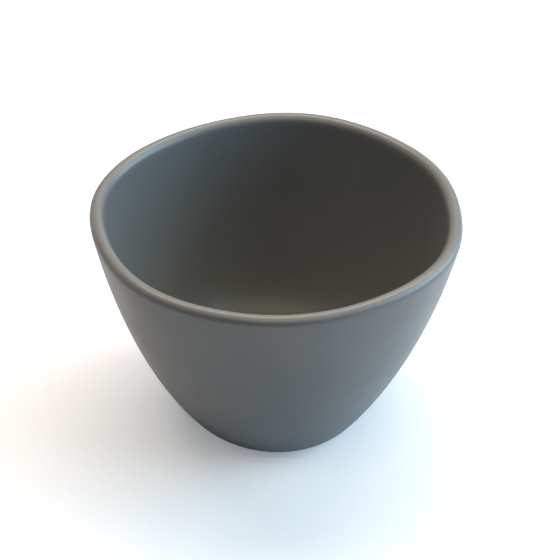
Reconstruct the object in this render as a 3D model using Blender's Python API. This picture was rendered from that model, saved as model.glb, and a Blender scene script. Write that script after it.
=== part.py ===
"""A small stoneware dip bowl: one piece of fired clay with a rounded lip, a softly pinched outline and a flat foot.

The bowl stands on the XY plane with +Z up, and its outline is centred on the Z axis. The section is drawn once in
the XZ plane as one closed run of points, turned about the Z axis, and the turned wall is then pressed in and out
so that the outline is a soft, uneven polygon, as on a bowl that was shaped by hand before the mould was made.
"""

import math

import bmesh
import bpy
from mathutils import Vector

# Overall sizes, in metres.
RIM_ACROSS = 0.124
HEIGHT = 0.078

# The wall. The lip is a full round, so it is as thick as the wall.
WALL = 0.005
FLOOR = 0.006
FLOOR_ROUNDING = 0.020

# The foot: a flat ring around a shallow recess, and the round edge that lifts off the table.
FOOT_ACROSS = 0.0545
FOOT_RING_WIDTH = 0.004
FOOT_RECESS_DEPTH = 0.0015
FOOT_EDGE_RADIUS = 0.010

# The side leaves the foot's edge at one slope and reaches the rim at another, both measured from the vertical.
# Each pull is how far the side keeps that slope, as a share of the straight line between its two ends.
FOOT_LEAN = math.radians(36)
RIM_LEAN = math.radians(10)
FOOT_PULL = 0.30
RIM_PULL = 0.33

# How the outline swells and pinches, at the rim and at the foot: the number of swells around the bowl, how far
# each stands out in metres, and the direction of one of them. The wall changes evenly from one to the other.
RIM_SWELLS = (
    (2, 0.00050, math.radians(80)),
    (3, 0.00037, math.radians(-45)),
    (4, 0.00050, math.radians(-21)),
    (5, 0.00020, math.radians(19)),
    (6, 0.00023, math.radians(-27)),
    (7, 0.00019, math.radians(23)),
)
FOOT_SWELLS = (
    (3, 0.00120, math.radians(22)),
    (4, 0.00065, math.radians(23)),
    (5, 0.00020, math.radians(30)),
)

# How finely the round surfaces are cut.
SEGMENTS_AROUND = 64
SIDE_STEPS = 12
EDGE_STEPS = 5
LIP_STEPS = 9
FLOOR_STEPS = 7
SAME_POINT = 1e-6

GLAZE_COLOUR = (0.130, 0.130, 0.122, 1.0)
GLAZE_ROUGHNESS = 0.42


def arc(centre, radius, start, end, steps):
    """Points on an arc in the section plane, from one angle to another, both ends included."""
    angles = [start + (end - start) * i / steps for i in range(steps + 1)]
    return [centre + radius * Vector((math.cos(a), math.sin(a))) for a in angles]


def cubic(start, start_handle, end_handle, end, steps):
    """(point, direction) pairs along a Bezier curve, both ends included."""
    found = []
    for i in range(steps + 1):
        t = i / steps
        u = 1 - t
        point = u**3 * start + 3 * u * u * t * start_handle + 3 * u * t * t * end_handle + t**3 * end
        along = u * u * (start_handle - start) + 2 * u * t * (end_handle - start_handle) + t * t * (end - end_handle)
        found.append((point, along.normalized()))
    return found


def smooth_max(a, b, rounding):
    """The larger of two heights, with the corner between them rounded off."""
    overlap = max(rounding - abs(a - b), 0)
    return max(a, b) + overlap * overlap / (4 * rounding)


def side():
    """The outer side from the foot's round edge up to the lip, as (point, direction) pairs."""
    edge_centre = Vector((FOOT_ACROSS / 2, FOOT_EDGE_RADIUS))
    leaving = Vector((math.sin(FOOT_LEAN), math.cos(FOOT_LEAN)))
    start = edge_centre + FOOT_EDGE_RADIUS * Vector((leaving.y, -leaving.x))
    arriving = Vector((math.sin(RIM_LEAN), math.cos(RIM_LEAN)))
    end = lip_centre() + WALL / 2 * Vector((arriving.y, -arriving.x))
    chord = (end - start).length
    return cubic(start, start + FOOT_PULL * chord * leaving, end - RIM_PULL * chord * arriving, end, SIDE_STEPS)


def lip_centre():
    return Vector(((RIM_ACROSS - WALL) / 2, HEIGHT - WALL / 2))


def inner_side(outer):
    """The inside of the bowl, from the lip down to the middle of its floor.

    It follows the outer side a wall's thickness inwards, carries on down at the slope of the side's foot, and is
    rounded into the level floor.
    """
    wall = [point + WALL * Vector((-along.y, along.x)) for point, along in reversed(outer)]
    foot_point, leaving = wall[-1], outer[0][1]
    floor_height = FOOT_RECESS_DEPTH + FLOOR
    run_in = []
    for i in range(1, FLOOR_STEPS + 1):
        share = i / FLOOR_STEPS
        run_in.append(foot_point + (foot_point.x * share / leaving.x) * -leaving)
    return [Vector((p.x, smooth_max(p.y, floor_height, FLOOR_ROUNDING))) for p in wall + run_in]


def section():
    """The whole section as points (distance from the axis, height), from the underside's middle to the floor's."""
    ring_outer = FOOT_ACROSS / 2
    ring_inner = ring_outer - FOOT_RING_WIDTH
    recess_edge = ring_inner - FOOT_RECESS_DEPTH
    underside = [
        Vector((0, FOOT_RECESS_DEPTH)),
        Vector((recess_edge / 2, FOOT_RECESS_DEPTH)),
        Vector((recess_edge, FOOT_RECESS_DEPTH)),
        Vector((ring_inner, 0)),
    ]
    edge_centre = Vector((ring_outer, FOOT_EDGE_RADIUS))
    foot_edge = arc(edge_centre, FOOT_EDGE_RADIUS, -math.pi / 2, -FOOT_LEAN, EDGE_STEPS)
    outer = side()
    lip = arc(lip_centre(), WALL / 2, -RIM_LEAN, math.pi - RIM_LEAN, LIP_STEPS)
    outer_points = [point for point, along in outer]
    return underside + foot_edge + outer_points[1:] + lip[1:-1] + inner_side(outer)


def swell(angle, height):
    """How much wider than round the bowl is in a direction, as a factor."""
    at_foot = sum(out * math.cos(count * (angle - crest)) for count, out, crest in FOOT_SWELLS) / (FOOT_ACROSS / 2)
    at_rim = sum(out * math.cos(count * (angle - crest)) for count, out, crest in RIM_SWELLS) / (RIM_ACROSS / 2)
    share = height / HEIGHT
    return 1 + (1 - share) * at_foot + share * at_rim


def turned(points):
    """The section turned about the Z axis into one closed body."""
    bm = bmesh.new()
    verts = [bm.verts.new((p.x, 0, p.y)) for p in points]
    edges = [bm.edges.new(pair) for pair in zip(verts, verts[1:])]
    bmesh.ops.spin(
        bm,
        geom=verts + edges,
        cent=(0, 0, 0),
        axis=(0, 0, 1),
        angle=2 * math.pi,
        steps=SEGMENTS_AROUND,
        use_merge=True,
    )
    bmesh.ops.remove_doubles(bm, verts=bm.verts, dist=SAME_POINT)
    bmesh.ops.recalc_face_normals(bm, faces=bm.faces)
    return bm


def press_outline(bm):
    """Swells and pinches the turned body, then centres its outline on the Z axis."""
    for vert in bm.verts:
        factor = swell(math.atan2(vert.co.y, vert.co.x), vert.co.z)
        vert.co.x *= factor
        vert.co.y *= factor
    for axis in (0, 1):
        reach = [vert.co[axis] for vert in bm.verts]
        middle = (min(reach) + max(reach)) / 2
        for vert in bm.verts:
            vert.co[axis] -= middle


def glaze_material():
    material = bpy.data.materials.new("satin_stoneware_glaze")
    material.use_nodes = True
    shader = material.node_tree.nodes["Principled BSDF"]
    shader.inputs["Base Color"].default_value = GLAZE_COLOUR
    shader.inputs["Roughness"].default_value = GLAZE_ROUGHNESS
    shader.inputs["Metallic"].default_value = 0.0
    return material


def make_bowl():
    bm = turned(section())
    press_outline(bm)
    mesh = bpy.data.meshes.new("bowl")
    bm.to_mesh(mesh)
    bm.free()
    mesh.materials.append(glaze_material())
    mesh.shade_smooth()
    mesh.set_sharp_from_angle(angle=math.radians(35))
    bowl = bpy.data.objects.new("bowl", mesh)
    bpy.context.scene.collection.objects.link(bowl)


def main():
    for old in list(bpy.data.objects):
        bpy.data.objects.remove(old, do_unlink=True)
    make_bowl()


main()
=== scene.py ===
"""A small dip bowl in satin grey stoneware: the fine surface, its glaze and the studio that it stands in.

The bowl's section is drawn once, from the underside's middle, over the foot, side and lip, to the middle of
the floor inside. A Geometry Nodes tree turns that section about the Z axis, presses the soft swells of the
outline into it, and gives each part of the surface its glaze or its bare clay.
"""

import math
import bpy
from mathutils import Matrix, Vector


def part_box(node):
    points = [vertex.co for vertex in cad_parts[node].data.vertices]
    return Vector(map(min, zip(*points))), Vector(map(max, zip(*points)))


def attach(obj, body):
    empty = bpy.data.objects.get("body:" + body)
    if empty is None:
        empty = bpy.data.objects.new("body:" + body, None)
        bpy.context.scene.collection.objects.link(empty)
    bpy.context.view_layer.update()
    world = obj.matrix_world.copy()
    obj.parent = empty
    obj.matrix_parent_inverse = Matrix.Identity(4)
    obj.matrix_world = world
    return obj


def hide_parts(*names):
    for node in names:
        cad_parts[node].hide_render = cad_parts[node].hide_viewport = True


bl_info = {
    "name": "Stoneware Dip Bowl",
    "version": (1, 0, 0),
    "blender": (4, 5, 0),
    "location": "3D View > Sidebar > Dip Bowl",
    "description": "Models, glazes and lights a small stoneware dip bowl",
    "category": "Add Mesh",
}

import bpy
from bpy.props import FloatProperty, FloatVectorProperty, IntProperty, PointerProperty, StringProperty
from mathutils import Vector

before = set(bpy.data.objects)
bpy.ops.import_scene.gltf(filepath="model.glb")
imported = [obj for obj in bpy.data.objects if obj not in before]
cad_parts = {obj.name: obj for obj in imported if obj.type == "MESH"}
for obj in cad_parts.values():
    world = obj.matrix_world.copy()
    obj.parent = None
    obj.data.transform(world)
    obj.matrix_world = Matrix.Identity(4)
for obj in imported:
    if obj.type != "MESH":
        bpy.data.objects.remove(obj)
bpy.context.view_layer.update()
CAD_BOWL = "bowl"
BODY = "root"
BOWL_LOW, BOWL_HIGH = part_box(CAD_BOWL)

MM = 0.001
SAME_POINT = 1e-6

# How far past the CAD solid's box the fine surface may reach, as a share of the box's side.
MOST_GROWTH = 0.03

# The outline's soft swells: how many stand around the bowl, how far each stands out, and which way one faces.
RIM_SWELLS = (
    (2, 0.50 * MM, math.radians(80)),
    (3, 0.37 * MM, math.radians(-45)),
    (4, 0.50 * MM, math.radians(-21)),
    (5, 0.20 * MM, math.radians(19)),
    (6, 0.23 * MM, math.radians(-27)),
    (7, 0.19 * MM, math.radians(23)),
)
FOOT_SWELLS = (
    (3, 1.20 * MM, math.radians(22)),
    (4, 0.65 * MM, math.radians(23)),
    (5, 0.20 * MM, math.radians(30)),
)

# How finely the section is cut. The lip and the foot turn most tightly, so their steps are the shortest.
SIDE_STEPS = 64
EDGE_STEPS = 20
LIP_STEPS = 28
RUN_IN_STEPS = 22
CORNER_STEPS = 5
FLAT_STEPS = 4

# The slow waver of the wall. Noise strays about a quarter from its middle, so it is taken four times.
WAVER_SEED = 7.0
WAVER_DETAIL = 1
NOISE_SWING = 4

# Nearly all of a noise lies between these two values.
NOISE_LOW = 0.3
NOISE_HIGH = 0.7

# The glaze: soft darker clouds, fine flecks and a faint ripple. The real flecks are too fine to show, so they
# are drawn coarser. A fleck starts where its noise passes one value and is full where it reaches the next.
CLOUD_SIZE = 16 * MM
FLECK_SIZE = 0.9 * MM
FLECK_FROM = 0.60
FLECK_FULL = 0.78
FLECK_SHARE = 0.35
FLECK_DEPTH = 0.02 * MM
RIPPLE_SIZE = 5 * MM
RIPPLE_DEPTH = 0.03 * MM
ROUGHNESS_CHANGE = 0.03

# The glaze runs off the lip as it melts, so it is thinner and paler over this much of the lip's height; the
# paler top is also a painted highlight, standing in for the light that falls on the lip from above. The share
# is how far its colour has changed at the very top.
LIP_THIN_AND_LIT = 2.0 * MM
LIP_THIN_AND_LIT_SHARE = 0.6

# The sand and grog in the bare clay.
GRIT_SIZE = 0.7 * MM
GRIT_FROM = 0.5
GRIT_FULL = 0.75
GRIT_SHARE = 0.8
GRIT_DEPTH = 0.08 * MM


class BowlSizes(bpy.types.PropertyGroup):
    """The bowl's sizes. They repeat the CAD part's, apart from the lip's drop, the glaze and the waver."""

    rim_across: FloatProperty(
        name="Rim Across",
        description="Width over the lip, before the swells",
        default=124 * MM,
        unit="LENGTH",
    )
    height: FloatProperty(
        name="Height",
        description="From the table to the top of the lip",
        default=BOWL_HIGH[2] - BOWL_LOW[2],
        unit="LENGTH",
    )
    wall: FloatProperty(
        name="Wall",
        description="Thickness of the wall and of the round lip",
        default=5 * MM,
        unit="LENGTH",
    )
    lip_drop: FloatProperty(
        name="Lip Drop",
        description="Depth over which the lip turns into the inner wall",
        default=3.4 * MM,
        unit="LENGTH",
    )
    floor: FloatProperty(
        name="Floor",
        description="Thickness of the floor over the recess",
        default=6 * MM,
        unit="LENGTH",
    )
    floor_rounding: FloatProperty(
        name="Floor Rounding",
        description="How wide the turn from wall to floor is",
        default=20 * MM,
        unit="LENGTH",
    )
    foot_across: FloatProperty(
        name="Foot Across",
        description="Width of the flat foot ring",
        default=54.5 * MM,
        unit="LENGTH",
    )
    ring_width: FloatProperty(
        name="Ring Width",
        description="Width of the flat that stands on the table",
        default=4 * MM,
        unit="LENGTH",
    )
    recess: FloatProperty(
        name="Recess",
        description="Depth of the hollow inside the foot ring",
        default=1.5 * MM,
        unit="LENGTH",
    )
    edge_radius: FloatProperty(
        name="Foot Edge",
        description="Radius of the edge between foot and side",
        default=10 * MM,
        unit="LENGTH",
    )
    corner_radius: FloatProperty(
        name="Ring Corner",
        description="Radius of the ring's inner corners",
        default=0.8 * MM,
        unit="LENGTH",
    )
    foot_lean: FloatProperty(
        name="Foot Lean",
        description="Lean of the side where it leaves the foot, from the vertical",
        default=math.radians(36),
        subtype="ANGLE",
    )
    rim_lean: FloatProperty(
        name="Rim Lean",
        description="Lean of the side where it meets the lip, from the vertical",
        default=math.radians(10),
        subtype="ANGLE",
    )
    foot_pull: FloatProperty(
        name="Foot Pull",
        description="How long the side keeps its lean at the foot",
        default=0.30,
        subtype="FACTOR",
    )
    rim_pull: FloatProperty(
        name="Rim Pull",
        description="How long the side keeps its lean at the rim",
        default=0.33,
        subtype="FACTOR",
    )
    glaze_line: FloatProperty(
        name="Glaze Line",
        description="Height above the table where the glaze ends",
        default=0.3 * MM,
        unit="LENGTH",
    )
    glaze_coat: FloatProperty(
        name="Glaze Coat",
        description="Thickness of the melted glaze at its edge",
        default=0.15 * MM,
        unit="LENGTH",
    )
    waver: FloatProperty(
        name="Waver",
        description="How far the wall wavers from the true shape",
        default=0.10 * MM,
        unit="LENGTH",
    )
    waver_size: FloatProperty(
        name="Waver Size",
        description="Distance from one waver to the next",
        default=38 * MM,
        unit="LENGTH",
    )
    around: IntProperty(name="Around", description="Faces around the bowl", default=240)


class BowlLook(bpy.types.PropertyGroup):
    """The colours and finish of the glaze and the clay."""

    glaze_hex: StringProperty(name="Glaze", description="Colour of the glaze, sRGB", default="6C6B68")
    cloud_hex: StringProperty(
        name="Glaze Cloud",
        description="Colour of its darker clouds, sRGB",
        default="666663",
    )
    # Paler lip colour: thinner glaze, and also a painted highlight where the light from above falls on the
    # lip.
    thin_and_lit_hex: StringProperty(
        name="Thin And Lit Glaze",
        description="Colour where it thins on the lip",
        default="8C8A84",
    )
    fleck_hex: StringProperty(
        name="Fleck",
        description="Colour of the fine flecks in it, sRGB",
        default="575855",
    )
    clay_hex: StringProperty(name="Clay", description="Colour of the bare clay, sRGB", default="A89C8B")
    grit_hex: StringProperty(
        name="Grit",
        description="Colour of the grit in the clay, sRGB",
        default="75695B",
    )
    glaze_roughness: FloatProperty(
        name="Glaze Roughness",
        description="Roughness of the satin glaze",
        default=0.36,
        subtype="FACTOR",
    )
    clay_roughness: FloatProperty(
        name="Clay Roughness",
        description="Roughness of the bare clay",
        default=0.85,
        subtype="FACTOR",
    )


class Studio(bpy.types.PropertyGroup):
    """The stage around the bowl."""

    paper_hex: StringProperty(name="Paper", description="Colour of the floor, sRGB", default="F2F5F8")
    # An even painted glow on the paper, seen only by the camera, that lifts its soft shadows toward white.
    paper_glow: FloatProperty(
        name="Paper Glow",
        description="How far the paper's soft shadows are lifted toward white",
        default=0.25,
    )
    paper_full: FloatProperty(
        name="Paper Full",
        description="Distance from the bowl where the floor starts to fade",
        default=0.5,
        unit="LENGTH",
    )
    paper_gone: FloatProperty(
        name="Paper Gone",
        description="Distance from the bowl where the floor has faded out",
        default=1.1,
        unit="LENGTH",
    )
    backdrop_hex: StringProperty(
        name="Backdrop",
        description="Colour behind the floor, sRGB",
        default="F3F3F3",
    )
    camera_height: FloatProperty(
        name="Camera Angle",
        description="Angle of the camera above the table",
        default=math.radians(35.56),
        subtype="ANGLE",
    )
    camera_distance: FloatProperty(
        name="Camera Distance",
        description="From the camera to the bowl",
        default=650 * MM,
        unit="LENGTH",
    )
    camera_aim: FloatVectorProperty(
        name="Camera Aim",
        description="The point that the camera looks at",
        default=(1.5 * MM, -0.35 * MM, 48.75 * MM),
        unit="LENGTH",
    )
    lens: FloatProperty(
        name="Lens",
        description="Focal length of the camera, in millimetres",
        default=123.6,
    )


def linear(hex_colour):
    """An sRGB hex colour as linear RGBA."""
    shares = [int(hex_colour[i : i + 2], 16) / 255 for i in (0, 2, 4)]
    return tuple(s / 12.92 if s <= 0.04045 else ((s + 0.055) / 1.055) ** 2.4 for s in shares) + (1.0,)


def add(tree, kind, inputs=None, **settings):
    """Adds a node, sets its properties, and fills its inputs with values, sockets or nodes' first outputs."""
    node = tree.nodes.new(kind)
    for name, value in settings.items():
        setattr(node, name, value)
    for name, value in (inputs or {}).items():
        if isinstance(value, bpy.types.Node):
            value = value.outputs[0]
        if isinstance(value, bpy.types.NodeSocket):
            tree.links.new(value, node.inputs[name])
        else:
            node.inputs[name].default_value = value
    return node


# ---- The section -------------------------------------------------------------------------------------


def arc(centre, radius, start, end, steps):
    """Points on an arc in the section plane, both ends included."""
    angles = [start + (end - start) * i / steps for i in range(steps + 1)]
    return [centre + radius * Vector((math.cos(a), math.sin(a))) for a in angles]


def straight(start, end, steps):
    return [start.lerp(end, i / steps) for i in range(steps + 1)]


def cubic(start, start_handle, end_handle, end, steps):
    """(point, direction) pairs along a Bezier curve, both ends included."""
    found = []
    for i in range(steps + 1):
        t = i / steps
        u = 1 - t
        point = u**3 * start + 3 * u * u * t * start_handle + 3 * u * t * t * end_handle + t**3 * end
        leaving = u * u * (start_handle - start)
        arriving = t * t * (end - end_handle)
        along = leaving + 2 * u * t * (end_handle - start_handle) + arriving
        found.append((point, along.normalized()))
    return found


def rounded_corner(before, corner, after, radius):
    """The arc that rounds one corner of the section."""
    to_before = (before - corner).normalized()
    to_after = (after - corner).normalized()
    half_turn = math.acos(to_before.dot(to_after)) / 2
    reach = radius / math.tan(half_turn)
    middle = corner + (to_before + to_after).normalized() * (radius / math.sin(half_turn))
    first = corner + to_before * reach - middle
    last = corner + to_after * reach - middle
    turn = math.atan2(first.x * last.y - first.y * last.x, first.dot(last))
    begin = math.atan2(first.y, first.x)
    return arc(middle, radius, begin, begin + turn, CORNER_STEPS)


def smooth_max(a, b, rounding):
    """The larger of two heights, with the corner between them rounded off."""
    overlap = max(rounding - abs(a - b), 0)
    return max(a, b) + overlap * overlap / (4 * rounding)


def smooth_step(low, high, value):
    share = min(max((value - low) / (high - low), 0), 1)
    return share * share * (3 - 2 * share)


def underside(sizes):
    """From the middle of the recess to the inner edge of the foot ring's flat."""
    ring_inner = sizes.foot_across / 2 - sizes.ring_width
    corners = [
        Vector((0, sizes.recess)),
        Vector((ring_inner - sizes.recess, sizes.recess)),
        Vector((ring_inner, 0)),
        Vector((sizes.foot_across / 2, 0)),
    ]
    top = rounded_corner(corners[0], corners[1], corners[2], sizes.corner_radius)
    bottom = rounded_corner(corners[1], corners[2], corners[3], sizes.corner_radius)
    ceiling = straight(corners[0], top[0], FLAT_STEPS)
    slope = straight(top[-1], bottom[0], FLAT_STEPS)
    return ceiling[:-1] + top + slope[1:-1] + bottom


def foot_edge(sizes):
    """The round edge that lifts off the table. Below the glaze line the clay lies one coat deeper."""
    centre = Vector((sizes.foot_across / 2, sizes.edge_radius))
    points = []
    for point in arc(centre, sizes.edge_radius, -math.pi / 2, -sizes.foot_lean, EDGE_STEPS):
        bare = 1 - smooth_step(sizes.glaze_line, sizes.glaze_line + sizes.glaze_coat, point.y)
        clear_of_table = smooth_step(0, sizes.glaze_line / 2, point.y)
        points.append(point + (centre - point).normalized() * sizes.glaze_coat * bare * clear_of_table)
    return points


def soften_inside(points, lip_top, upward, half_wall, drop):
    """Lets the lip turn into the inner wall over a longer drop than its own radius, as a wiped lip does."""
    inward = Vector((-upward.y, upward.x))
    softened = []
    for point in points:
        depth = (lip_top - point).dot(upward)
        across = (point - lip_top).dot(inward)
        if 0 < depth < drop and across > 0:
            tight = math.sqrt(1 - (1 - min(depth / half_wall, 1)) ** 2)
            gentle = math.sqrt(1 - (1 - depth / drop) ** 2)
            point = point + inward * across * (gentle / tight - 1)
        softened.append(point)
    return softened


def section(sizes):
    """The whole section as points (distance from the axis, height)."""
    half_wall = sizes.wall / 2
    lip_centre = Vector((sizes.rim_across / 2 - half_wall, sizes.height - half_wall))
    edge_centre = Vector((sizes.foot_across / 2, sizes.edge_radius))
    leaving = Vector((math.sin(sizes.foot_lean), math.cos(sizes.foot_lean)))
    arriving = Vector((math.sin(sizes.rim_lean), math.cos(sizes.rim_lean)))
    start = edge_centre + sizes.edge_radius * Vector((leaving.y, -leaving.x))
    end = lip_centre + half_wall * Vector((arriving.y, -arriving.x))
    chord = (end - start).length
    foot_handle = start + sizes.foot_pull * chord * leaving
    rim_handle = end - sizes.rim_pull * chord * arriving
    side = cubic(start, foot_handle, rim_handle, end, SIDE_STEPS)
    lip = arc(lip_centre, half_wall, -sizes.rim_lean, math.pi - sizes.rim_lean, LIP_STEPS)
    inner = [point + sizes.wall * Vector((-along.y, along.x)) for point, along in reversed(side)]
    foot_point = inner[-1]
    for i in range(1, RUN_IN_STEPS + 1):
        inner.append(foot_point - leaving * (foot_point.x * i / RUN_IN_STEPS / leaving.x))
    floor_height = sizes.recess + sizes.floor
    inner = [Vector((p.x, smooth_max(p.y, floor_height, sizes.floor_rounding))) for p in inner]
    outer = [point for point, along in side]
    lip_top = lip_centre + half_wall * arriving
    inside = soften_inside(lip[1:-1] + inner, lip_top, arriving, half_wall, sizes.lip_drop)
    return underside(sizes) + foot_edge(sizes) + outer[1:] + inside


def section_object(sizes):
    """The section as a run of points and edges in the XZ plane, from the axis back to the axis."""
    points = section(sizes)
    points[0].x = 0
    points[-1].x = 0
    mesh = bpy.data.meshes.new("bowl_section")
    mesh.from_pydata([(p.x, 0, p.y) for p in points], [(i, i + 1) for i in range(len(points) - 1)], [])
    drawn = bpy.data.objects.new("bowl_section", mesh)
    bpy.context.scene.collection.objects.link(drawn)
    return drawn


# ---- The tree that turns the section -----------------------------------------------------------------


def swell_inputs(where, swells):
    """(name, socket type, value) of the inputs for one ring of swells."""
    rows = []
    for count, out, toward in swells:
        rows.append((f"{where} Swell {count}", "NodeSocketFloat", out))
        rows.append((f"{where} Swell {count} Toward", "NodeSocketFloat", toward))
    return rows


def add_swells(tree, entry, where, swells, turn, half_across):
    """Nodes for how much wider than round a ring is in each direction, as a share of its radius."""
    total = None
    for count, _, _ in swells:
        toward = entry.outputs[f"{where} Swell {count} Toward"]
        reach = entry.outputs[f"{where} Swell {count}"]
        from_crest = add(tree, "ShaderNodeMath", {0: turn, 1: toward}, operation="SUBTRACT")
        phase = add(tree, "ShaderNodeMath", {0: from_crest, 1: count}, operation="MULTIPLY")
        wave = add(tree, "ShaderNodeMath", {0: phase}, operation="COSINE")
        out = add(tree, "ShaderNodeMath", {0: wave, 1: reach}, operation="MULTIPLY")
        total = out if total is None else add(tree, "ShaderNodeMath", {0: total, 1: out}, operation="ADD")
    return add(tree, "ShaderNodeMath", {0: total, 1: half_across}, operation="DIVIDE")


def turning_tree(rows):
    """Turns a section into a closed wall, presses its outline, and sorts glaze from clay."""
    tree = bpy.data.node_groups.new("Turn And Press Bowl", "GeometryNodeTree")
    tree.interface.new_socket("Section", in_out="INPUT", socket_type="NodeSocketGeometry")
    for name, kind, _ in rows:
        tree.interface.new_socket(name, in_out="INPUT", socket_type=kind)
    tree.interface.new_socket("Bowl", in_out="OUTPUT", socket_type="NodeSocketGeometry")
    entry = add(tree, "NodeGroupInput")
    given = entry.outputs

    # A sheet with one row for each point of the section and one column for each step around.
    section_size = add(tree, "GeometryNodeAttributeDomainSize", {0: given["Section"]}, component="MESH")
    count = section_size.outputs["Point Count"]
    columns = add(tree, "ShaderNodeMath", {0: given["Around"], 1: 1}, operation="ADD")
    sheet = add(
        tree, "GeometryNodeMeshGrid", {"Size X": 1, "Size Y": 1, "Vertices X": columns, "Vertices Y": count}
    )
    place = add(tree, "ShaderNodeSeparateXYZ", {0: add(tree, "GeometryNodeInputPosition")})
    last_row = add(tree, "ShaderNodeMath", {0: count, 1: 1}, operation="SUBTRACT")
    along = add(tree, "ShaderNodeMath", {0: place.outputs["Y"], 1: 0.5}, operation="ADD")
    row = add(tree, "ShaderNodeMath", {0: along, 1: last_row}, operation="MULTIPLY")
    row = add(tree, "ShaderNodeMath", {0: row}, operation="ROUND")
    around = add(tree, "ShaderNodeMath", {0: place.outputs["X"], 1: 0.5}, operation="ADD")
    turn = add(tree, "ShaderNodeMath", {0: around, 1: math.tau}, operation="MULTIPLY")
    drawn = add(
        tree,
        "GeometryNodeSampleIndex",
        {"Geometry": given["Section"], "Value": add(tree, "GeometryNodeInputPosition"), "Index": row},
        data_type="FLOAT_VECTOR",
        domain="POINT",
    )
    drawn = add(tree, "ShaderNodeSeparateXYZ", {0: drawn})

    # The outline changes evenly from the foot's swells to the rim's.
    at_foot = add_swells(tree, entry, "Foot", FOOT_SWELLS, turn, given["Half Foot"])
    at_rim = add_swells(tree, entry, "Rim", RIM_SWELLS, turn, given["Half Rim"])
    share = add(tree, "ShaderNodeMath", {0: drawn.outputs["Z"], 1: given["Height"]}, operation="DIVIDE")
    swell = add(tree, "ShaderNodeMix", {"Factor": share, "A": at_foot, "B": at_rim}, clamp_factor=False)
    factor = add(tree, "ShaderNodeMath", {0: swell, 1: 1}, operation="ADD")
    radius = add(tree, "ShaderNodeMath", {0: drawn.outputs["X"], 1: factor}, operation="MULTIPLY")
    cosine = add(tree, "ShaderNodeMath", {0: turn}, operation="COSINE")
    sine = add(tree, "ShaderNodeMath", {0: turn}, operation="SINE")
    x = add(tree, "ShaderNodeMath", {0: radius, 1: cosine}, operation="MULTIPLY")
    y = add(tree, "ShaderNodeMath", {0: radius, 1: sine}, operation="MULTIPLY")
    pressed = add(tree, "ShaderNodeCombineXYZ", {"X": x, "Y": y, "Z": drawn.outputs["Z"]})

    # A slow waver, none at the foot and most at the rim, as a wall has that was dried and fired.
    fineness = add(tree, "ShaderNodeMath", {0: 1, 1: given["Waver Size"]}, operation="DIVIDE")
    noise = add(
        tree,
        "ShaderNodeTexNoise",
        {"Vector": pressed, "W": given["Seed"], "Scale": fineness, "Detail": WAVER_DETAIL},
        noise_dimensions="4D",
    ).outputs["Color"]
    centred = add(tree, "ShaderNodeVectorMath", {0: noise, 1: (0.5, 0.5, 0.5)}, operation="SUBTRACT")
    reach = add(tree, "ShaderNodeMath", {0: share, 1: given["Waver"]}, operation="MULTIPLY")
    reach = add(tree, "ShaderNodeMath", {0: reach, 1: NOISE_SWING}, operation="MULTIPLY")
    waver = add(tree, "ShaderNodeVectorMath", {0: centred, "Scale": reach}, operation="SCALE")
    wavered = add(tree, "ShaderNodeVectorMath", {0: pressed, 1: waver}, operation="ADD")
    wall = add(tree, "GeometryNodeSetPosition", {"Geometry": sheet, "Position": wavered})
    wall = add(tree, "GeometryNodeMergeByDistance", {"Geometry": wall, "Distance": SAME_POINT})

    # The outline is centred on the axis.
    box = add(tree, "GeometryNodeBoundBox", {"Geometry": wall}).outputs
    middle = add(tree, "ShaderNodeVectorMath", {0: box["Min"], 1: box["Max"]}, operation="ADD")
    offset = add(tree, "ShaderNodeVectorMath", {0: middle, 1: (-0.5, -0.5, 0)}, operation="MULTIPLY")
    wall = add(tree, "GeometryNodeSetPosition", {"Geometry": wall, "Offset": offset})
    wall = add(tree, "GeometryNodeSetShadeSmooth", {"Geometry": wall})
    height = add(tree, "ShaderNodeSeparateXYZ", {0: add(tree, "GeometryNodeInputPosition")}).outputs["Z"]
    bare = add(tree, "ShaderNodeMath", {0: height, 1: given["Glaze Line"]}, operation="LESS_THAN")
    wall = add(tree, "GeometryNodeRealizeInstances", {"Geometry": wall})
    wall = add(tree, "GeometryNodeSetMaterial", {"Geometry": wall, "Material": given["Glaze"]})
    wall = add(
        tree, "GeometryNodeSetMaterial", {"Geometry": wall, "Selection": bare, "Material": given["Clay"]}
    )
    add(tree, "NodeGroupOutput", {0: wall})
    return tree


def turned_bowl(sizes, glaze, clay):
    """The finished bowl as one plain mesh."""
    rows = [
        ("Around", "NodeSocketInt", sizes.around),
        ("Height", "NodeSocketFloat", sizes.height),
        ("Half Rim", "NodeSocketFloat", sizes.rim_across / 2),
        ("Half Foot", "NodeSocketFloat", sizes.foot_across / 2),
        ("Waver", "NodeSocketFloat", sizes.waver),
        ("Waver Size", "NodeSocketFloat", sizes.waver_size),
        ("Seed", "NodeSocketFloat", WAVER_SEED),
        ("Glaze Line", "NodeSocketFloat", sizes.glaze_line),
        ("Glaze", "NodeSocketMaterial", glaze),
        ("Clay", "NodeSocketMaterial", clay),
    ]
    rows += swell_inputs("Rim", RIM_SWELLS) + swell_inputs("Foot", FOOT_SWELLS)
    tree = turning_tree(rows)
    drawn = section_object(sizes)
    modifier = drawn.modifiers.new("Turn And Press", "NODES")
    modifier.node_group = tree
    values = {name: value for name, _, value in rows}
    for item in tree.interface.items_tree:
        if item.in_out == "INPUT" and item.name in values:
            modifier[item.identifier] = values[item.name]
    bpy.context.view_layer.update()
    evaluated = drawn.evaluated_get(bpy.context.evaluated_depsgraph_get())
    mesh = bpy.data.meshes.new_from_object(evaluated)
    mesh.name = "stoneware_bowl"
    if mesh.materials[0] is None:
        mesh.materials.pop(index=0)
    bpy.data.objects.remove(drawn)
    bowl = bpy.data.objects.new("stoneware_bowl", mesh)
    bpy.context.scene.collection.objects.link(bowl)
    return bowl


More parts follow.
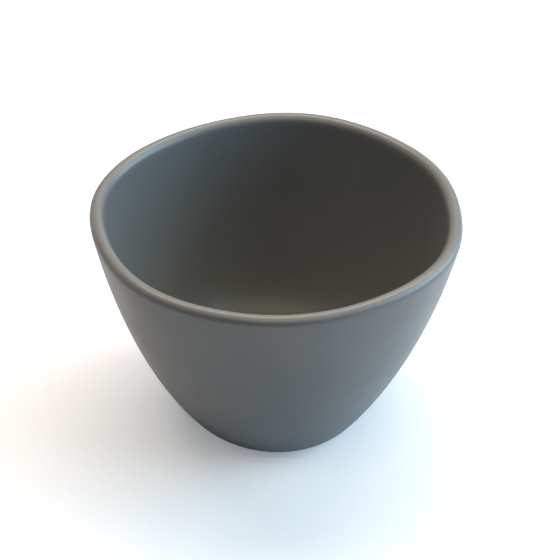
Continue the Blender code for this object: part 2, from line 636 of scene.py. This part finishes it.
def check_growth(bowl):
    """Stops when the fine surface stands out of the CAD solid's box by more than its share of a side."""
    corners = [vertex.co for vertex in bowl.data.vertices]
    for axis in range(3):
        most = MOST_GROWTH * (BOWL_HIGH[axis] - BOWL_LOW[axis])
        low = min(corner[axis] for corner in corners)
        high = max(corner[axis] for corner in corners)
        if low < BOWL_LOW[axis] - most or high > BOWL_HIGH[axis] + most:
            raise RuntimeError(f"the bowl leaves its CAD box on axis {axis}: {low:.5f} to {high:.5f} m")


# ---- Materials ---------------------------------------------------------------------------------------
# A Mix node's two colours are its inputs 6 and 7, and the mixed colour is its output 2. A Map Range takes the
# value as input 0, the range that it comes from as 1 and 2, and the range that it goes to as 3 and 4.


def new_material(name):
    """A material with an empty node tree, and that tree."""
    material = bpy.data.materials.new(name)
    material.use_nodes = True
    tree = material.node_tree
    tree.nodes.clear()
    return material, tree


def satin_stoneware_glaze(look, sizes):
    """Satin stoneware glaze, dipped and fired: an even slate grey, softly shiny, and paler on the lip, partly
    from thinner glaze and partly as a painted highlight.
    """
    material, tree = new_material("satin_stoneware_glaze")
    place = add(tree, "ShaderNodeTexCoord").outputs["Object"]
    clouds = add(tree, "ShaderNodeTexNoise", {"Vector": place, "Scale": 1 / CLOUD_SIZE, "Detail": 3})
    colour = add(
        tree,
        "ShaderNodeMix",
        {0: clouds, 6: linear(look.glaze_hex), 7: linear(look.cloud_hex)},
        data_type="RGBA",
    )
    flecks = add(tree, "ShaderNodeTexNoise", {"Vector": place, "Scale": 1 / FLECK_SIZE, "Detail": 2})
    fleck_share = add(
        tree, "ShaderNodeMapRange", {0: flecks, 1: FLECK_FROM, 2: FLECK_FULL, 3: 0.0, 4: FLECK_SHARE}
    )
    colour = add(
        tree,
        "ShaderNodeMix",
        {0: fleck_share, 6: colour.outputs[2], 7: linear(look.fleck_hex)},
        data_type="RGBA",
    )
    height = add(tree, "ShaderNodeSeparateXYZ", {0: place}).outputs["Z"]
    # The top of the lip is painted paler: partly thinner glaze, partly a painted highlight from the light
    # above.
    lip = add(
        tree,
        "ShaderNodeMapRange",
        {0: height, 1: sizes.height - LIP_THIN_AND_LIT, 2: sizes.height, 3: 0.0, 4: LIP_THIN_AND_LIT_SHARE},
        interpolation_type="SMOOTHSTEP",
    )
    colour = add(
        tree, "ShaderNodeMix", {0: lip, 6: colour.outputs[2], 7: linear(look.thin_and_lit_hex)}, data_type="RGBA"
    )
    smoothest = look.glaze_roughness - ROUGHNESS_CHANGE
    roughest = look.glaze_roughness + ROUGHNESS_CHANGE
    satin = add(
        tree, "ShaderNodeMapRange", {0: clouds, 1: NOISE_LOW, 2: NOISE_HIGH, 3: smoothest, 4: roughest}
    )
    ripple = add(tree, "ShaderNodeTexNoise", {"Vector": place, "Scale": 1 / RIPPLE_SIZE, "Detail": 1})
    ripple = add(tree, "ShaderNodeBump", {"Height": ripple, "Strength": 0.25, "Distance": RIPPLE_DEPTH})
    grain = add(
        tree,
        "ShaderNodeBump",
        {"Height": flecks, "Strength": 0.12, "Distance": FLECK_DEPTH, "Normal": ripple},
    )
    shader = add(
        tree,
        "ShaderNodeBsdfPrincipled",
        {"Base Color": colour.outputs[2], "Roughness": satin.outputs[0], "IOR": 1.5, "Normal": grain},
    )
    add(tree, "ShaderNodeOutputMaterial", {"Surface": shader})
    return material


def bare_stoneware(look):
    """Bare fired stoneware, wiped clean of glaze and sanded: matt, pale and gritty."""
    material, tree = new_material("bare_stoneware")
    place = add(tree, "ShaderNodeTexCoord").outputs["Object"]
    grit = add(tree, "ShaderNodeTexNoise", {"Vector": place, "Scale": 1 / GRIT_SIZE, "Detail": 4})
    grit_share = add(tree, "ShaderNodeMapRange", {0: grit, 1: GRIT_FROM, 2: GRIT_FULL, 3: 0.0, 4: GRIT_SHARE})
    colour = add(
        tree,
        "ShaderNodeMix",
        {0: grit_share, 6: linear(look.clay_hex), 7: linear(look.grit_hex)},
        data_type="RGBA",
    )
    grain = add(tree, "ShaderNodeBump", {"Height": grit, "Strength": 0.5, "Distance": GRIT_DEPTH})
    shader = add(
        tree,
        "ShaderNodeBsdfPrincipled",
        {"Base Color": colour.outputs[2], "Roughness": look.clay_roughness, "IOR": 1.5, "Normal": grain},
    )
    add(tree, "ShaderNodeOutputMaterial", {"Surface": shader})
    return material


def studio_paper(studio):
    """Matt white background paper with an even painted glow that only the camera sees. It fades into the
    backdrop where the lights end.
    """
    material, tree = new_material("studio_paper")
    # The glow is painted light that lifts the paper's soft shadows toward white: only the camera sees it, so
    # it puts no light on the bowl.
    seen = add(tree, "ShaderNodeLightPath").outputs["Is Camera Ray"]
    lift = add(tree, "ShaderNodeMath", {0: seen, 1: studio.paper_glow}, operation="MULTIPLY")
    paper = add(
        tree,
        "ShaderNodeBsdfPrincipled",
        {
            "Base Color": linear(studio.paper_hex),
            "Roughness": 0.9,
            "IOR": 1.5,
            "Emission Color": (1, 1, 1, 1),
            "Emission Strength": lift,
        },
    )
    place = add(tree, "ShaderNodeTexCoord").outputs["Object"]
    from_bowl = add(tree, "ShaderNodeVectorMath", {0: place}, operation="LENGTH").outputs["Value"]
    fade = add(
        tree,
        "ShaderNodeMapRange",
        {0: from_bowl, 1: studio.paper_full, 2: studio.paper_gone, 3: 0.0, 4: 1.0},
        interpolation_type="SMOOTHSTEP",
    )
    beyond = add(tree, "ShaderNodeBsdfTransparent")
    shader = add(tree, "ShaderNodeMixShader", {0: fade, 1: paper, 2: beyond})
    add(tree, "ShaderNodeOutputMaterial", {"Surface": shader})
    return material


# ---- The stage ---------------------------------------------------------------------------------------

# Each softbox: name, azimuth and elevation in degrees, distance, width and height in metres, colour and
# strength. Warm light falls from above and behind, and a cool window stands on the camera's right.
SOFTBOXES = (
    ("top", 182, 67, 1.10, 1.40, 0.42, (1.00, 0.86, 0.75), 7.05),
    ("window", 92, 15, 1.00, 1.00, 0.48, (0.52, 0.75, 1.00), 7.35),
    ("window_high", 95, 40, 1.00, 1.00, 0.40, (0.70, 1.00, 1.00), 2.7),
    ("back", 192, 19, 1.15, 1.90, 0.65, (0.90, 1.00, 0.80), 0.56),
    ("left", 267, 25, 1.10, 0.60, 0.80, (0.85, 1.00, 0.65), 0.66),
    ("front", 0, 66, 1.10, 1.20, 0.40, (1.00, 0.88, 0.50), 1.66),
)

# The point that every softbox faces: the middle of the bowl.
LIT_POINT = Vector((0, 0, 0.04))

# The dim even light that fills the shadows, as from a clear sky.
FILL_COLOUR = (0.10, 0.20, 1.00, 1.0)
FILL_STRENGTH = 0.11


def aim(thing, at):
    """Turns a camera or a light to look at a point."""
    thing.rotation_euler = (at - thing.location).to_track_quat("-Z", "Y").to_euler()


def add_camera(studio):
    data = bpy.data.cameras.new("camera")
    data.lens = studio.lens
    camera = bpy.data.objects.new("camera", data)
    at = Vector(studio.camera_aim)
    away = Vector((0, -math.cos(studio.camera_height), math.sin(studio.camera_height)))
    camera.location = at + studio.camera_distance * away
    aim(camera, at)
    bpy.context.scene.collection.objects.link(camera)
    bpy.context.scene.camera = camera


def add_floor(studio):
    mesh = bpy.data.meshes.new("floor")
    reach = studio.paper_gone
    corners = [(-reach, -reach, 0), (reach, -reach, 0), (reach, reach, 0), (-reach, reach, 0)]
    mesh.from_pydata(corners, [], [(0, 1, 2, 3)])
    mesh.materials.append(studio_paper(studio))
    floor = bpy.data.objects.new("floor", mesh)
    bpy.context.scene.collection.objects.link(floor)


def add_softbox(name, azimuth, elevation, distance, width, height, colour, strength):
    """A rectangular softbox that faces the bowl. Azimuth 0 is the camera's side and 90 is its right."""
    data = bpy.data.lights.new(name, "AREA")
    data.shape = "RECTANGLE"
    data.size = width
    data.size_y = height
    data.color = colour
    data.energy = strength * math.pi * width * height
    box = bpy.data.objects.new(name, data)
    flat = math.cos(elevation)
    toward = Vector((flat * math.sin(azimuth), -flat * math.cos(azimuth), math.sin(elevation)))
    box.location = LIT_POINT + distance * toward
    aim(box, LIT_POINT)
    box.visible_camera = False
    bpy.context.scene.collection.objects.link(box)


def add_world(colour, strength, backdrop_hex):
    """A dim even light from all around. The camera itself sees a plain pale backdrop there."""
    world = bpy.data.worlds.new("studio")
    bpy.context.scene.world = world
    world.use_nodes = True
    tree = world.node_tree
    tree.nodes.clear()
    glow = add(tree, "ShaderNodeBackground", {"Color": colour, "Strength": strength})
    backdrop = add(tree, "ShaderNodeBackground", {"Color": linear(backdrop_hex), "Strength": 1.0})
    seen = add(tree, "ShaderNodeLightPath").outputs["Is Camera Ray"]
    both = add(tree, "ShaderNodeMixShader", {0: seen, 1: glow, 2: backdrop})
    add(tree, "ShaderNodeOutputWorld", {"Surface": both})


# ---- Operators and panel -----------------------------------------------------------------------------


class DIPBOWL_OT_stage(bpy.types.Operator):
    """Sets up the pale floor, the soft light and the camera"""

    bl_idname = "dip_bowl.stage"
    bl_label = "Stage"

    def execute(self, context):
        studio = context.scene.dip_bowl_studio
        context.scene.view_settings.view_transform = "Standard"
        add_camera(studio)
        add_floor(studio)
        add_world(FILL_COLOUR, FILL_STRENGTH, studio.backdrop_hex)
        for name, azimuth, elevation, *rest in SOFTBOXES:
            add_softbox(name, math.radians(azimuth), math.radians(elevation), *rest)
        return {"FINISHED"}


class DIPBOWL_OT_bowl(bpy.types.Operator):
    """Turns the bowl, glazes it and puts it in place of its CAD solid"""

    bl_idname = "dip_bowl.bowl"
    bl_label = "Bowl"

    def execute(self, context):
        sizes = context.scene.dip_bowl_sizes
        look = context.scene.dip_bowl_look
        bowl = turned_bowl(sizes, satin_stoneware_glaze(look, sizes), bare_stoneware(look))
        check_growth(bowl)
        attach(bowl, BODY)
        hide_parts(CAD_BOWL)
        return {"FINISHED"}


class DIPBOWL_PT_panel(bpy.types.Panel):
    """Lists the pieces and their settings"""

    bl_idname = "DIPBOWL_PT_panel"
    bl_label = "Dip Bowl"
    bl_space_type = "VIEW_3D"
    bl_region_type = "UI"
    bl_category = "Dip Bowl"

    def draw(self, context):
        for operator in OPERATORS:
            self.layout.operator(operator.bl_idname)
        for group, scene_name in GROUPS:
            box = self.layout.box()
            box.label(text=group.__doc__)
            for name in group.__annotations__:
                box.prop(getattr(context.scene, scene_name), name)


OPERATORS = (DIPBOWL_OT_stage, DIPBOWL_OT_bowl)
GROUPS = ((BowlSizes, "dip_bowl_sizes"), (BowlLook, "dip_bowl_look"), (Studio, "dip_bowl_studio"))


def register():
    for group, scene_name in GROUPS:
        bpy.utils.register_class(group)
        setattr(bpy.types.Scene, scene_name, PointerProperty(type=group))
    for one in OPERATORS + (DIPBOWL_PT_panel,):
        bpy.utils.register_class(one)


def unregister():
    for one in reversed(OPERATORS + (DIPBOWL_PT_panel,)):
        bpy.utils.unregister_class(one)
    for group, scene_name in reversed(GROUPS):
        delattr(bpy.types.Scene, scene_name)
        bpy.utils.unregister_class(group)


def main():
    register()
    bpy.ops.dip_bowl.stage()
    bpy.ops.dip_bowl.bowl()


if __name__ == "__main__":
    main()
